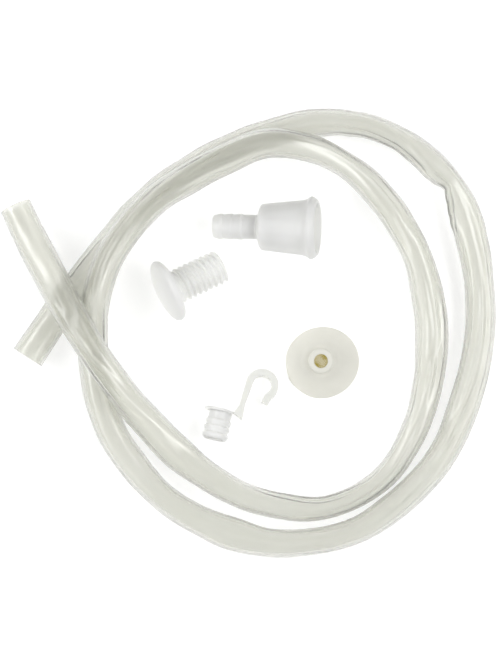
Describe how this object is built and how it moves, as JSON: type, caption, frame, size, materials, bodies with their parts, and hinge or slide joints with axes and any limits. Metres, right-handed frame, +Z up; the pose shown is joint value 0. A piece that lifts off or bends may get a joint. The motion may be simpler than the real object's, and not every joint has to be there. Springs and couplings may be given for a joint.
{
  "type": "ear irrigation hose kit",
  "caption": "Loose coil of soft clear hose with its fittings laid inside it: barbed hose connector, threaded stopper, push-in plug with a hook, and a soft ear cup.",
  "frame": {"origin": "on the table, under the middle of the four fittings that lie inside the hose's coil", "axes": "+Z up from the table the kit lies on; +X to the right and +Y away, as the kit is seen from straight above"},
  "size_m": [0.165, 0.15, 0.0235],
  "materials": {
    "hose": "soft clear hose, milky, glossy with long streaks of light",
    "connector": "frosted white polypropylene, slightly translucent",
    "stopper": "white moulded plastic, satin",
    "plug": "white moulded polyethylene, satin, slightly translucent",
    "cup": "soft ivory rubber, matte"
  },
  "bodies": {
    "hose": {"hose": "hose", "hose_end_a": "hose", "hose_end_b": "hose"},
    "connector": {"connector": "connector"},
    "stopper": {"stopper": "stopper"},
    "hook_plug": {"hook_plug": "plug"},
    "hook": {"hook": "plug"},
    "ear_cup": {"ear_cup": "cup"}
  },
  "joints": [
    {"name": "connector_lift", "type": "slide", "parent": "hose", "child": "connector", "axis": [0, 0, 1], "range_m": [0, 0.06]},
    {"name": "stopper_lift", "type": "slide", "parent": "hose", "child": "stopper", "axis": [0, 0, 1], "range_m": [0, 0.06]},
    {"name": "plug_lift", "type": "slide", "parent": "hose", "child": "hook_plug", "axis": [0, 0, 1], "range_m": [0, 0.06]},
    {"name": "cup_lift", "type": "slide", "parent": "hose", "child": "ear_cup", "axis": [0, 0, 1], "range_m": [0, 0.06]},
    {"name": "hook_hinge", "type": "hinge", "parent": "hook_plug", "child": "hook", "pos_m": [-0.00672, -0.03124, 0.0047], "axis": [0.0367, 0.1473, 0.9884], "range_deg": [-50, 90], "stiffness_Nm_per_rad": 0.0005}
  ]
}
